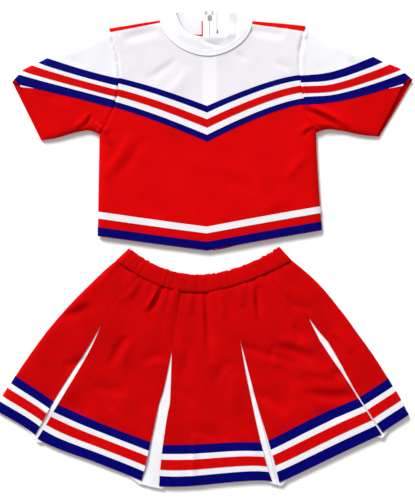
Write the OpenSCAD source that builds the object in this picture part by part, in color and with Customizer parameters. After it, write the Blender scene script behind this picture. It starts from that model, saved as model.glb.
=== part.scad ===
// Two-piece cheer uniform laid flat: a short-sleeved cropped top with a centre-back zip,
// and a pleated pull-on skirt below it. +Y runs towards the collar, +Z up from the table.
// Front layers lie over back layers, with a hollow between them for the body and arms.

/* [Layers] */
// Thickness of the double-knit cloth
cloth_t = 1.2; // [1:0.1:1.6]
// Height of the underside of the front layer above the table
front_z = 11.2; // [10.8:0.2:14]
// Thickness of the widest ribbon of a braid
ribbon_t = 0.6; // [0.4:0.1:0.8]
// Thickness of each ribbon sewn on top of it
ribbon_top_t = 0.5; // [0.3:0.1:0.6]

/* [Top] */
// Half of the chest width
chest_half = 202; // [190:1:215]
// Height of the hem at the side seams
hem_side_y = 24; // [16:1:30]
// Height of the hem at the point of its shallow V
hem_point_y = -7; // [-12:1:0]
// Height of the underarm point
underarm_y = 203; // [195:1:210]
// Half of the width across the shoulder points
shoulder_half = 175; // [170:1:180]
// Height of the shoulder points
shoulder_y = 390; // [384:1:396]
// Half of the neck seam's width
neck_half = 81; // [74:1:86]
// Height of the neck seam at the sides of the neck
neck_y = 404; // [400:1:408]
// Depth of the front neck seam below its sides
neck_drop = 61; // [50:1:70]

/* [Collar] */
// Half of the width of the collar's mouth
mouth_half = 53; // [45:1:58]
// Height of the ends of the collar's mouth
mouth_y = 419; // [415:1:422]
// How far the front collar's top edge dips
mouth_drop = 50; // [30:1:52]
// Height of the back collar's top edge
collar_back_y = 426; // [423:1:428]
// Height of the seam that joins the back collar to the back panels
collar_seam_y = 384; // [380:1:388]
// Width of the band along the neck seam
neck_band_w = 10; // [6:1:12]

/* [Sleeves] */
// Distance of the sleeve's outer tip from the centre of the top
sleeve_tip_x = 355; // [345:1:360]
// Height of the sleeve's outer tip
sleeve_tip_y = 300; // [295:1:305]
// Distance of the sleeve hem's lower corner from the centre of the top
cuff_x = 299; // [290:1:305]
// Height of the sleeve hem's lower corner
cuff_y = 196; // [190:1:202]

/* [Skirt] */
// Inner radius of the curved waistband
waist_r = 218; // [200:2:240]
// Half of the angle that the waistband spans
waist_angle = 39; // [36:1:41]
// Height of the waistband
band_h = 32; // [26:1:38]
// Half of the hem's width
skirt_half = 367; // [350:1:375]
// Height of the hem's outer corners
skirt_corner_y = -300; // [-310:1:-290]
// Height of the centre panel's hem
skirt_hem_y = -426; // [-430:1:-410]
// Height of the skirt hem's braid
skirt_braid_h = 73; // [60:1:80]

/* [Zip] */
// Length of the centre-back zip, which parts the whole back
zip_length = 428; // [420:1:429]
// Half of the width of the placket opening that shows the zip
placket_half = 6; // [5.5:0.5:8]
// Width of one zip tape
tape_w = 12; // [10:0.5:14]
// Length of the pull tab
tab_length = 20; // [14:1:26]

/* [Hidden] */
top_x = 10;
waist_y = 170;
front_top = front_z + cloth_t;
white_z = front_top + ribbon_t;
red_z = white_z + ribbon_top_t;
wall_t = 1.6;
seam_gap = 0.3;
fold_gap = 0.1;
far = 500;
sides = [-1, 1];

// Sleeve and shoulder points of the right half, measured from the top's centre line. The
// armhole is the straight line from underarm to shoulder, so that the sleeve can fold along it.
shoulder = [shoulder_half, shoulder_y];
underarm = [chest_half - 2, underarm_y];
neck_side = [neck_half, neck_y];
hem_side = [chest_half, hem_side_y];
sleeve_tip = [sleeve_tip_x, sleeve_tip_y];
cuff = [cuff_x, cuff_y];

// Heights of the chest braid's edges at the centre line and at the side
chest_x = [0, chest_half];
chest_low = [189, 262];
chest_high = [253, 314];
// Heights of the sleeve braid's edges at the armhole and at the sleeve's tip
braid_x = [shoulder_half, sleeve_tip_x];
sleeve_low = [252, 302];
sleeve_high = [307, 361];
// Fractions of the braid's height where the white ribbon and the red ribbon start and end
chest_split = [0.19, 0.375, 0.625, 0.81];
sleeve_split = [0.26, 0.39, 0.62, 0.75];
skirt_split = [0.23, 0.38, 0.62, 0.77];

// Hem trim of the top: low and high edge of each stripe above the hem
navy_trim = [1, 16];
white_trim = [31, 43];

// Zip levels: the tapes lie on the turned placket, the coil hangs under them
tape_z = 3.6;
tape_t = 0.5;
coil_z = 2.55;
coil_half = 2;
chain_gap = 0.6;
zip_top = collar_back_y - 2;
zip_bottom = zip_top - zip_length;
placket_w = 14;
slider_y = zip_top - 12;
slider_l = 9;
pin_z = 0.9;
pin_r = 0.45;
eye_r = 0.85;
running_gap = 0.05;

// Collar: two layers of cloth, its mouth's end, and where the hook and eye sit
collar_t = 2 * cloth_t;
mouth_end = [mouth_half, mouth_y];
fastener_y = collar_back_y - 5;
wire_r = 0.4;

// Skirt seams: where each pleat opens, and its bottom corners
inner_slit = [61, -180];
outer_slit = [184, -133];
centre_hem = [101, skirt_hem_y];
front_hem_in = [123, skirt_hem_y + 5];
front_hem_out = [308, -341];
side_hem_in = [312, -337];
side_corner = [skirt_half, skirt_corner_y];
band_r = waist_r + band_h;
side_bulge = -17;
casing_t = 3;
casing_h = front_top;
elastic_margin = 4;
band_tuck = 8;
inset_t = 1;
front_inset_z = front_z - inset_t;

// Outlines of the white pleat inlays, each folded flat behind the two panels that it joins
inner_inset = [[58, -150], [76, skirt_hem_y + 8], [150, skirt_hem_y + 20], [66, -150]];
outer_inset = [[176, -118], [290, -342], [330, -318], [186, -118]];

// ---------- helpers ----------

function mix(a, b, t) = a + (b - a) * t;
function left_of(d) = [-d[1], d[0]];
function unit(v) = v / norm(v);

// Points of a circular arc from a to b whose middle stands off the chord by bulge, to its left
function arc(a, b, bulge, n = 10) =
    let (c = norm(b - a), r = (c * c / 4 + bulge * bulge) / (2 * abs(bulge)),
         out = left_of(unit(b - a)) * sign(bulge),
         m = mix(a, b, 0.5) + out * (abs(bulge) - r), half = asin(c / (2 * r)))
    [for (i = [0:n]) let (t = half * (2 * i / n - 1))
        m + r * (out * cos(t) + unit(b - a) * sin(t))];

// Points of an ellipse's arc around a centre, between two angles
function oval(centre, rx, ry, from, to, n = 12) =
    [for (i = [0:n]) let (t = mix(from, to, i / n)) centre + [rx * cos(t), ry * sin(t)]];

// A line of points moved to its left
function moved(pts, t) = let (last = len(pts) - 1) [for (i = [0:last])
    pts[i] + t * left_of(unit(pts[min(i + 1, last)] - pts[max(i - 1, 0)]))];

// A thin strip along the left side of a line of points
module strip(pts, t) {
    inner = moved(pts, t);
    polygon(concat(pts, [for (i = [len(pts) - 1:-1:0]) inner[i]]));
}

module plate(z, t) translate([0, 0, z]) linear_extrude(t) children();

// Places something on the right half of the top (side = 1) or mirrored on its left half (-1)
module on_side(side) translate([top_x, 0, 0]) scale_x(side) children();
module scale_x(side) mirror([side < 0 ? 1 : 0, 0, 0]) children();

// ---------- outlines of the top, right half ----------

sleeve_top = concat(arc(shoulder, [280, 347], -1, 2), [[335, 320], sleeve_tip]);
sleeve_under = arc(cuff, underarm, 4, 4);

module half_body() polygon([[0, hem_point_y], hem_side, underarm, shoulder, neck_side, [0, neck_y]]);

module neck_hole() polygon(oval([0, neck_y], neck_half, neck_drop, 180, 360, 24));

module sleeve_outline() translate([seam_gap, 0])
    polygon(concat(sleeve_top, sleeve_under));

// Area between two slanted lines: heights are given at the two x values
module band(xs, low, high) polygon([[xs[0], low[0]], [xs[1], low[1]], [xs[1], high[1]], [xs[0], high[0]]]);

function between(low, high, f) = [mix(low[0], high[0], f), mix(low[1], high[1], f)];

module chest_band(from, to) intersection() {
    half_body();
    band(chest_x, between(chest_low, chest_high, from), between(chest_low, chest_high, to));
}

module sleeve_band(from, to) intersection() {
    sleeve_outline();
    band(braid_x, between(sleeve_low, sleeve_high, from), between(sleeve_low, sleeve_high, to));
}

module hem_band(trim) band(chest_x, [hem_point_y + trim[0], hem_side_y + trim[0]],
                           [hem_point_y + trim[1], hem_side_y + trim[1]]);

module both_halves() translate([top_x, 0, 0]) for (side = sides) scale_x(side) children();

// ---------- front of the top ----------

module front_yoke() color("white") plate(front_z, cloth_t) difference() {
    both_halves() intersection() {
        half_body();
        band(chest_x, between(chest_low, chest_high, 0.5), [neck_y, neck_y]);
    }
    translate([top_x, 0]) neck_hole();
}

module front_body_panel() color("red") plate(front_z, cloth_t) both_halves() difference() {
    half_body();
    band(chest_x, between(chest_low, chest_high, 0.5), [far, far]);
}

module chest_braid_navy() color("navy") plate(front_top, ribbon_t) both_halves() chest_band(0, 1);

module chest_braid_white() color("white") plate(white_z, ribbon_top_t)
    both_halves() chest_band(chest_split[0], chest_split[3]);

module chest_braid_red() color("red") plate(red_z, ribbon_top_t)
    both_halves() chest_band(chest_split[1], chest_split[2]);

module hem_trim_front_white() color("white") plate(front_top, ribbon_t) both_halves() hem_band(white_trim);

module hem_trim_front_navy() color("navy") plate(front_top, ribbon_t) both_halves() hem_band(navy_trim);

// ---------- back of the top ----------

// What lies beside the placket opening, which runs down the whole centre back
module beside_zip() intersection() {
    children();
    translate([placket_half, -far]) square([far, 2 * far]);
}

module half_back() beside_zip() polygon([[0, hem_point_y], hem_side, underarm, shoulder,
    neck_side, [neck_half, collar_seam_y], [0, collar_seam_y]]);

// The walls that join back to front at the side seam and along the shoulder
module half_walls() intersection() {
    half_body();
    union() {
        strip([hem_side, underarm], wall_t);
        strip([shoulder, neck_side], wall_t);
    }
}

module back_panel(side) color("red") on_side(side) difference() {
    union() {
        plate(0, cloth_t) half_back();
        plate(0, front_z) half_walls();
        plate(cloth_t, tape_z - cloth_t) intersection() {
            half_back();
            square([placket_half + placket_w, collar_seam_y]);
        }
    }
    plate(-1, 1 + ribbon_t) hem_band(white_trim);
    plate(-1, 1 + ribbon_t) hem_band(navy_trim);
}

module back_panel_left() back_panel(-1);

module back_panel_right() back_panel(1);

module hem_trim_back_white() color("white") plate(0, ribbon_t) both_halves() beside_zip()
    hem_band(white_trim);

module hem_trim_back_navy() color("navy") plate(0, ribbon_t) both_halves() beside_zip()
    hem_band(navy_trim);

// ---------- collar ----------

module collar_area() polygon(concat(
    oval([0, neck_y], neck_half, neck_drop, 180, 360, 24),
    oval([0, mouth_y], mouth_half, mouth_drop, 360, 180, 16)));

module collar_front() color("white") plate(front_z, collar_t) translate([top_x, 0]) collar_area();

module neck_seam_band() color("whitesmoke") plate(front_z + collar_t, ribbon_top_t)
    translate([top_x, 0]) intersection() {
        collar_area();
        difference() {
            neck_hole();
            polygon(oval([0, neck_y], neck_half - neck_band_w, neck_drop - neck_band_w, 180, 360, 24));
        }
    }

module collar_back(side) color("white") on_side(side) {
    plate(0, collar_t) polygon([[placket_half, collar_seam_y], [neck_half - 12, collar_seam_y],
        neck_side, mouth_end, [placket_half, collar_back_y]]);
    plate(0, front_z) strip([neck_side, mouth_end], wall_t);
    plate(collar_t, tape_z - collar_t) translate([placket_half, collar_seam_y])
        square([placket_w, zip_top - collar_seam_y]);
}

module collar_back_left() collar_back(-1);

module collar_back_right() collar_back(1);

// ---------- sleeves ----------

// The seam between a sleeve's cap and its front runs under the middle of the braid
module sleeve_half(above) intersection() {
    sleeve_outline();
    if (above) band(braid_x, between(sleeve_low, sleeve_high, 0.5), [far, far]);
    else band(braid_x, [0, 0], between(sleeve_low, sleeve_high, 0.5));
}

module sleeve_cap(side) color("white") on_side(side) plate(front_z, cloth_t) sleeve_half(true);

module sleeve_front(side) color("red") on_side(side) plate(front_z, cloth_t) sleeve_half(false);

module sleeve_back(side) color("red") on_side(side) {
    plate(0, cloth_t) sleeve_outline();
    plate(0, front_z) intersection() {
        sleeve_outline();
        translate([seam_gap, 0]) for (edge = [sleeve_top, sleeve_under])
            strip([for (i = [len(edge) - 1:-1:0]) edge[i]], wall_t);
    }
}

module sleeve_braid(side, z, t, from, to) on_side(side) plate(z, t) sleeve_band(from, to);

module sleeve_left_cap() sleeve_cap(-1);

module sleeve_left_front() sleeve_front(-1);

module sleeve_left_back() sleeve_back(-1);

module sleeve_left_braid_navy() color("navy") sleeve_braid(-1, front_top, ribbon_t, 0, 1);

module sleeve_left_braid_white() color("white")
    sleeve_braid(-1, white_z, ribbon_top_t, sleeve_split[0], sleeve_split[3]);

module sleeve_left_braid_red() color("red")
    sleeve_braid(-1, red_z, ribbon_top_t, sleeve_split[1], sleeve_split[2]);

module sleeve_right_cap() sleeve_cap(1);

module sleeve_right_front() sleeve_front(1);

module sleeve_right_back() sleeve_back(1);

module sleeve_right_braid_navy() color("navy") sleeve_braid(1, front_top, ribbon_t, 0, 1);

module sleeve_right_braid_white() color("white")
    sleeve_braid(1, white_z, ribbon_top_t, sleeve_split[0], sleeve_split[3]);

module sleeve_right_braid_red() color("red")
    sleeve_braid(1, red_z, ribbon_top_t, sleeve_split[1], sleeve_split[2]);

// ---------- centre-back zip ----------

module zip_tape(side) color("white") on_side(side) plate(tape_z, tape_t)
    translate([chain_gap, zip_bottom]) square([tape_w, zip_length]);

module zip_tape_left() zip_tape(-1);

module zip_tape_right() zip_tape(1);

// The two runs of the closed coil hang under the tapes' inner edges
module zip_coil() color("whitesmoke") both_halves() plate(coil_z, tape_z - coil_z)
    translate([chain_gap, zip_bottom + 6]) square([coil_half - chain_gap, zip_length - 10]);

module zip_top_stops() color("silver") both_halves() plate(coil_z, tape_z - coil_z)
    translate([chain_gap, zip_top - 3.5]) square([coil_half, 2.5]);

module zip_bottom_stop() color("silver") plate(coil_z - 0.4, tape_z - coil_z + 0.4)
    translate([top_x - coil_half - 0.5, zip_bottom + 2]) square([2 * coil_half + 1, 3.5]);

// Outer plate, side flanges, wedge post and inner plate, with two lugs and their pin for the tab
module zip_slider() color("silver") translate([top_x, slider_y, 0]) {
    outer_z = coil_z - 0.7;
    flange_x = coil_half + 0.3;
    rounded_plate(outer_z, 0.6, 3.7);
    rounded_plate(tape_z + tape_t + 0.1, 0.6, 3.7);
    for (side = sides) {
        scale_x(side) plate(outer_z, tape_z - 0.1 - outer_z)
            translate([flange_x, -slider_l / 2 + 1]) square([1.2, slider_l - 2]);
        scale_x(side) plate(pin_z - 0.6, outer_z - pin_z + 0.6)
            translate([1.5, -1]) square([0.8, 2]);
    }
    plate(outer_z, tape_z + tape_t + 0.2 - outer_z)
        translate([-chain_gap + 0.1, slider_l / 2 - 2.6]) square([2 * chain_gap - 0.2, 2]);
    translate([-1.6, 0, pin_z]) rotate([0, 90, 0]) cylinder(h = 3.2, r = pin_r, $fn = 32);
}

module rounded_plate(z, t, half_w) plate(z, t) intersection() {
    square([2 * half_w, slider_l], center = true);
    circle(r = slider_l / 2 + 0.6, $fn = 48);
}

// Flat tab with an eye that turns on the slider's pin
module zip_pull_tab() color("silver") translate([top_x, slider_y, 0]) difference() {
    union() {
        plate(pin_z - 0.35, 0.7) translate([0, -tab_length / 2]) difference() {
            tab_outline();
            translate([0, -tab_length / 2 + 4]) circle(r = 1.2, $fn = 32);
        }
        translate([-1.4, 0, pin_z]) rotate([0, 90, 0]) cylinder(h = 2.8, r = eye_r, $fn = 32);
    }
    translate([-2, 0, pin_z]) rotate([0, 90, 0]) cylinder(h = 4, r = pin_r + running_gap, $fn = 32);
}

module tab_outline() {
    translate([-1.4, tab_length / 2 - 6]) square([2.8, 6]);
    translate([-2.4, -tab_length / 2 + 2.4]) square([4.8, tab_length - 7]);
    translate([0, -tab_length / 2 + 2.4]) circle(r = 2.4, $fn = 48);
}

// Wire hook and eye that close the collar above the zip
module wire_ring(x, r) translate([top_x + x, fastener_y, tape_z + tape_t + wire_r])
    rotate_extrude($fn = 48) translate([r, 0]) circle(r = wire_r, $fn = 16);

module collar_hook() color("silver") {
    for (y = [-1.9, 1.9]) translate([0, y, 0]) wire_ring(-7.5, 1.5);
    translate([top_x - 6.2, fastener_y, tape_z + tape_t + wire_r]) rotate([0, 90, 0])
        cylinder(h = 4.6, r = wire_r, $fn = 16);
}

module collar_eye() color("silver") for (y = [-1.9, 1.9]) translate([0, y, 0]) wire_ring(4.5, 1.5);

// ---------- skirt ----------

function on_ring(r, a) = [r * sin(a), waist_y - r * cos(a)];
function ring_points(r, from, to, n = 8) = [for (i = [0:n]) on_ring(r, mix(from, to, i / n))];

inner_angle = atan(inner_slit[0] / (waist_y - inner_slit[1]));
outer_angle = atan(outer_slit[0] / (waist_y - outer_slit[1]));
side_line = arc(side_corner, on_ring(band_r, waist_angle), side_bulge);

// A flattened belt: front run, back run and the two folds that join them
module belt(margin, t, edge) {
    last_angle = waist_angle - margin / waist_r * 57.3;
    open_angle = last_angle - t / waist_r * 57.3;
    difference() {
        plate(margin, casing_h - 2 * margin)
            ring_area(waist_r + edge, band_r - edge, last_angle);
        plate(margin + t, casing_h - 2 * (margin + t))
            ring_area(waist_r - 5, band_r + 5, open_angle);
    }
}

module ring_area(r_in, r_out, a)
    polygon(concat(ring_points(r_in, -a, a, 24), ring_points(r_out, a, -a, 24)));

module waistband_casing() color("red") difference() {
    belt(0, casing_t, 0);
    waist_elastic();
}

module waist_elastic() color("whitesmoke") belt(1, 1, elastic_margin);

// Panels end at the waistband's lower edge, and at its end
module below_band() difference() {
    children();
    ring_area(waist_r, band_r, waist_angle);
    polygon(concat(ring_points(waist_r, waist_angle, waist_angle + 2, 2),
        ring_points(band_r, waist_angle + 2, waist_angle, 2)));
}

// Outlines of the panels on the right half; the centre panel is built from both halves
module center_outline() below_band() polygon(concat([inner_slit, centre_hem],
    [for (p = [centre_hem, inner_slit]) [-p[0], p[1]]],
    ring_points(band_r - band_tuck, -inner_angle, inner_angle)));

module front_outline() below_band() polygon(concat(
    ring_points(band_r - band_tuck, inner_angle, outer_angle, 5),
    [outer_slit, front_hem_out, front_hem_in, inner_slit]));

module side_outline(inset = 0) below_band() polygon(concat(
    [side_hem_in], moved(side_line, inset), ring_points(band_r - band_tuck, waist_angle, outer_angle, 3), [outer_slit]));

// A band along a panel's straight hem, from and to being fractions of the braid's height
module hem_strip(a, b, from, to) {
    up = left_of(unit(b - a)) * skirt_braid_h;
    start = up * mix(0.02, 1, from);
    end = up * mix(0.02, 1, to);
    polygon([a - (b - a) + start, b + (b - a) + start, b + (b - a) + end, a - (b - a) + end]);
}

// The panels of one half in order: 0 centre, 1 front, 2 side, which can end short of its fold
module panel_outline(which, inset = 0) {
    if (which == 0) center_outline();
    if (which == 1) front_outline();
    if (which == 2) side_outline(inset);
}

module panel_braid(which, from, to) intersection() {
    panel_outline(which);
    if (which == 0) hem_strip([-centre_hem[0], centre_hem[1]], centre_hem, from, to);
    if (which == 1) hem_strip(front_hem_in, front_hem_out, from, to);
    if (which == 2) hem_strip(side_hem_in, side_corner, from, to);
}

// Outer slits close to a line at the back, so only the braid tells the panels apart there
module front_panel(which, side) color("red") scale_x(side) plate(front_z, cloth_t) panel_outline(which);

module back_skin(which, inset = 0) difference() {
    plate(0, cloth_t) panel_outline(which, inset);
    plate(-1, 1 + ribbon_t) panel_braid(which, 0, 1);
}

module back_panel_of_skirt(which, side) color("red") scale_x(side) back_skin(which);

// The front and back layers of a side panel, and the fold between them as a wall a hair away
module side_panel(side) color("red") scale_x(side) {
    plate(front_z, cloth_t) side_outline(wall_t + fold_gap);
    back_skin(2, wall_t + fold_gap);
    plate(ribbon_t, front_top - ribbon_t) intersection() {
        side_outline();
        strip(side_line, wall_t);
    }
}

module skirt_panel_front_center() front_panel(0, 1);

module skirt_panel_front_left() front_panel(1, -1);

module skirt_panel_front_right() front_panel(1, 1);

module skirt_panel_side_left() side_panel(-1);

module skirt_panel_side_right() side_panel(1);

module skirt_panel_back_center() back_panel_of_skirt(0, 1);

module skirt_panel_back_left() back_panel_of_skirt(1, -1);

module skirt_panel_back_right() back_panel_of_skirt(1, 1);

module pleat_inset(z, shape, side) color("white") scale_x(side) plate(z, inset_t) polygon(shape);

module pleat_inset_front_1() pleat_inset(front_inset_z, outer_inset, -1);

module pleat_inset_front_2() pleat_inset(front_inset_z, inner_inset, -1);

module pleat_inset_front_3() pleat_inset(front_inset_z, inner_inset, 1);

module pleat_inset_front_4() pleat_inset(front_inset_z, outer_inset, 1);

module pleat_inset_back_1() pleat_inset(cloth_t, outer_inset, -1);

module pleat_inset_back_2() pleat_inset(cloth_t, inner_inset, -1);

module pleat_inset_back_3() pleat_inset(cloth_t, inner_inset, 1);

module pleat_inset_back_4() pleat_inset(cloth_t, outer_inset, 1);

// Each ribbon of the hem braid runs round all eight panels as separate lengths
module all_panels() {
    children(0);
    for (side = sides) scale_x(side) children(1);
}

module braid_lengths(z, t, from, to) all_panels() {
    plate(z, t) panel_braid(0, from, to);
    for (which = [1, 2]) plate(z, t) panel_braid(which, from, to);
}

module skirt_braid_navy() color("navy") {
    braid_lengths(front_top, ribbon_t, 0, 1);
    braid_lengths(0, ribbon_t, 0, skirt_split[0]);
    braid_lengths(0, ribbon_t, skirt_split[3], 1);
}

module skirt_braid_white() color("white") {
    braid_lengths(white_z, ribbon_top_t, skirt_split[0], skirt_split[3]);
    braid_lengths(0, ribbon_t, skirt_split[0], skirt_split[1]);
    braid_lengths(0, ribbon_t, skirt_split[2], skirt_split[3]);
}

module skirt_braid_red() color("red") {
    braid_lengths(red_z, ribbon_top_t, skirt_split[1], skirt_split[2]);
    braid_lengths(0, ribbon_t, skirt_split[1], skirt_split[2]);
}

front_yoke();
front_body_panel();
back_panel_left();
back_panel_right();
collar_front();
collar_back_left();
collar_back_right();
neck_seam_band();
chest_braid_navy();
chest_braid_white();
chest_braid_red();
hem_trim_front_white();
hem_trim_front_navy();
hem_trim_back_white();
hem_trim_back_navy();
sleeve_left_cap();
sleeve_left_front();
sleeve_left_back();
sleeve_left_braid_navy();
sleeve_left_braid_white();
sleeve_left_braid_red();
sleeve_right_cap();
sleeve_right_front();
sleeve_right_back();
sleeve_right_braid_navy();
sleeve_right_braid_white();
sleeve_right_braid_red();
zip_tape_left();
zip_tape_right();
zip_coil();
zip_top_stops();
zip_bottom_stop();
zip_slider();
zip_pull_tab();
collar_hook();
collar_eye();
waistband_casing();
waist_elastic();
skirt_panel_front_center();
skirt_panel_front_left();
skirt_panel_front_right();
skirt_panel_side_left();
skirt_panel_side_right();
skirt_panel_back_center();
skirt_panel_back_left();
skirt_panel_back_right();
pleat_inset_front_1();
pleat_inset_front_2();
pleat_inset_front_3();
pleat_inset_front_4();
pleat_inset_back_1();
pleat_inset_back_2();
pleat_inset_back_3();
pleat_inset_back_4();
skirt_braid_navy();
skirt_braid_white();
skirt_braid_red();
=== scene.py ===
"""A two-piece cheer uniform laid flat, built in cloth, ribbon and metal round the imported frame.

Lengths are millimetres until a mesh is made. Each garment is drawn flat and symmetric, as it is cut. Garment
then gives each flat point its place on the front or the back layer, with the drift and creases of this lay.
"""

import math
from collections import namedtuple
from dataclasses import dataclass

import bpy
import numpy as np
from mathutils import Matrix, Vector, kdtree, noise
from mathutils.geometry import delaunay_2d_cdt


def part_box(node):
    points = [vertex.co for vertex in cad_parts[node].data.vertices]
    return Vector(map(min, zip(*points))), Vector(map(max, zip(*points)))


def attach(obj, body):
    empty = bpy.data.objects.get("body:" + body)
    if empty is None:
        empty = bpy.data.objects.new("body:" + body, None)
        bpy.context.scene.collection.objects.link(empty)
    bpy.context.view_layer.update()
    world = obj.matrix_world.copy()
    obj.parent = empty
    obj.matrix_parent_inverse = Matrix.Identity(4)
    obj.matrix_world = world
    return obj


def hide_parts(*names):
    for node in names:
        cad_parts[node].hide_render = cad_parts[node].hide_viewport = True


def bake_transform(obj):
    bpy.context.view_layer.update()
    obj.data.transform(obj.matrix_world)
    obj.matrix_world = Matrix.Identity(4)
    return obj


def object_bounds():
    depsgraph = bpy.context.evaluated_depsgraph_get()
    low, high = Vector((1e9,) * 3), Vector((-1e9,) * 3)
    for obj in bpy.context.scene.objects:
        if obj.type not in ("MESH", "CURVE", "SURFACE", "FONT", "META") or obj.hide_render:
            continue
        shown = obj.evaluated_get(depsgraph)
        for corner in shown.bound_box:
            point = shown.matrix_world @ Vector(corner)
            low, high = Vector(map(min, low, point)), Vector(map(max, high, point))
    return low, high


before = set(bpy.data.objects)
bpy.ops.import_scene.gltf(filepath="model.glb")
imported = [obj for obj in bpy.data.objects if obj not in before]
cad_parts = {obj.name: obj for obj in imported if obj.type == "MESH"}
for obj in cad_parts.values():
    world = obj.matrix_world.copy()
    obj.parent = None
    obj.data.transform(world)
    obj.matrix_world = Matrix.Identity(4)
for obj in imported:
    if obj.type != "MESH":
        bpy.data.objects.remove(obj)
cad_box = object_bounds()

MM = 0.001


def box(node):
    """Lowest and highest corner of a CAD node."""
    low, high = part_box(node)
    return np.array(low) / MM, np.array(high) / MM


# ---------- sizes ----------

BODY_LOW, BODY_HIGH = box("front_body_panel")
YOKE_HIGH = box("front_yoke")[1]
SLEEVE_LOW, SLEEVE_HIGH = box("sleeve_right_back")
TAPE_LOW, TAPE_HIGH = box("zip_tape_right")
COIL_LOW, COIL_HIGH = box("zip_coil")
BAND_LOW, BAND_HIGH = box("waistband_casing")
SIDE_HIGH = box("skirt_panel_side_right")[1]

# The top, measured from its centre line
TOP_X = (BODY_LOW[0] + BODY_HIGH[0]) / 2
CHEST = (BODY_HIGH[0] - BODY_LOW[0]) / 2
HEM_POINT = BODY_LOW[1]
HEM_RISE = 31
HEM_SIDE = np.array([CHEST, HEM_POINT + HEM_RISE])
UNDERARM = np.array([CHEST - 2, 203.0])
NECK_SIDE = np.array([81, YOKE_HIGH[1]])
SHOULDER = np.array([175, YOKE_HIGH[1] - 14])
NECK_DROP = 61
NECK_FULLNESS = 1.8
SLEEVE_TIP = np.array([SLEEVE_HIGH[0] - TOP_X, 300.0])
CUFF = np.array([299, SLEEVE_LOW[1] + 1])
CUFF_TOP = np.array([341, 297.0])
# The back rolls over the shoulder, and laps on to the front by this much on the left (-1) and the right (1)
SHOULDER_ROLL = 4
ROLL_LAP = {-1: 0.3, 1: 3.2}
COLLAR_SEAM = 384
BACK_NECK_Y = {"left": COLLAR_SEAM, "right": COLLAR_SEAM - 11}
# Half the gap that the zip leaves between the halves of the back, and the cloth's thickness
PLACKET_HALF = 6
CLOTH = 0.9

# Braids: shares of the height where one colour ends and the next starts, from the lower edge up
CHEST_SPLIT = (0, 0.19, 0.39, 0.625, 0.81, 1)
SLEEVE_SPLIT = (0, 0.265, 0.384, 0.623, 0.752, 1)
HEM_TRIM = {"navy": (0.8, 16), "white": (31, 43)}

# The skirt, whose waistband is part of a ring
WAIST_ANGLE = math.radians(39)
BAND_H = 32
BAND_R = (BAND_HIGH[0] - BAND_LOW[0]) / 2 / math.sin(WAIST_ANGLE)
WAIST_R = BAND_R - BAND_H
WAIST_Y = BAND_LOW[1] + BAND_R
HEM_Y = box("skirt_panel_front_center")[0][1]
SKIRT_CORNER = np.array([SIDE_HIGH[0], -300.0])
INNER_SLIT = np.array([61, -180.0])
OUTER_SLIT = np.array([184, -133.0])
CENTRE_HEM = np.array([101, HEM_Y])
FRONT_HEM_IN = np.array([123, HEM_Y + 5])
FRONT_HEM_OUT = np.array([308, HEM_Y + 85])
SIDE_HEM_IN = np.array([312, HEM_Y + 89])
SKIRT_SPLIT = (0.4, 18.5, 29.5, 47.5, 57.5, 73.5)
# How far both edges of a slit stand back from its straight line, from its top to the hem; 1 is the right side
SLIT_SWELL = {
    ("inner", -1): (0, 1, 1.6, 1.8, 1.6, 1, 0),
    ("inner", 1): (0, 0.5, 0.5, 0.4, 0.3, 0.2, 0),
    ("outer", -1): (0, 1.4, 2.3, 2.6, 2.3, 1.4, 0),
    ("outer", 1): (0, 1.2, 2.5, 3.1, 2.5, 1.1, -0.1, -0.6, -0.9, -0.9, -0.8),
}

# Where this lay differs from the symmetric cut: flat point, then how far it has drifted
TOP_LAY = [
    (-165, 390, -4.5, -2), (185, 390, -3.5, 2.5), (-71, 404, -6.5, -0.5), (91, 404, -5.5, -1.5),
    (10, 343, -2.5, -0.5), (-190, 203, 2.5, -0.5), (210, 203, -9, 3), (-345, 300, 0.5, -3.5),
    (365, 300, 9.5, 0.5), (-289, 196, 1.5, -3.5), (309, 196, 0.5, 3.5), (10, -7, -4.5, 0.5),
    (-192, 24, 1.5, -4.5), (212, 24, -1, 6), (10, 189, -4.5, 0), (10, 253, -4.5, 0), (-153, 275, 0, -1),
    (173, 275, 0, 6), (-270, 352, 0, -3), (290, 352, 2, 1), (225, 290, -1, -5), (265, 300, 0, -6),
    (310, 315, 2, -4), (262, 202, 0, 3), (-242, 202, 1, 0),
]
SKIRT_LAY = [
    (-367, -300, -8.5, 8), (-312, -337, 9.5, 0.5), (-308, -341, 8.5, -3.5), (-123, -421, 10.5, 1.5),
    (-101, -426, 20.5, -3.5), (101, -426, 21.5, 5.5), (123, -421, 11.5, -1.5), (308, -341, 10.5, 4.5),
    (312, -337, 8.5, 4.5), (367, -300, 0.5, -1.5), (-184, -133, 3.5, 0), (-61, -180, 3.5, -4),
    (61, -180, 3.5, 14), (184, -133, -0.5, 12), (-137, 0, 3, -3), (137, 0, -3, 0), (0, -48, 0, -1),
    (0, -80, 1, -1), (-157, -24, 0, 0), (157, -24, -1, 1), (-275, -152, -4, 3), (275, -152, -2, -1),
    (-345, -262, -6.5, 5), (345, -262, -1, -1), (0, -426, 21, 1), (-215, -381, 9.5, -1),
    (215, -381, 11, 1.5), (206, -176, -4, 11), (212, -173, 12.5, 3), (240, -231, 6.5, 6), (250, -234, 6, 6),
    (-240, -231, 5, -5), (-250, -234, 4, -5), (-206, -176, 4, -7), (-212, -173, 3.5, -7), (203, -67, 2, 2),
    (244, -113, 0, 0), (-203, -67, -1, 1), (-244, -113, -3, 2), (-86, -278, 7, -3), (-77, -278, 14, -3),
    (86, -278, 6, 4), (77, -278, 8, 5),
]

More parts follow.
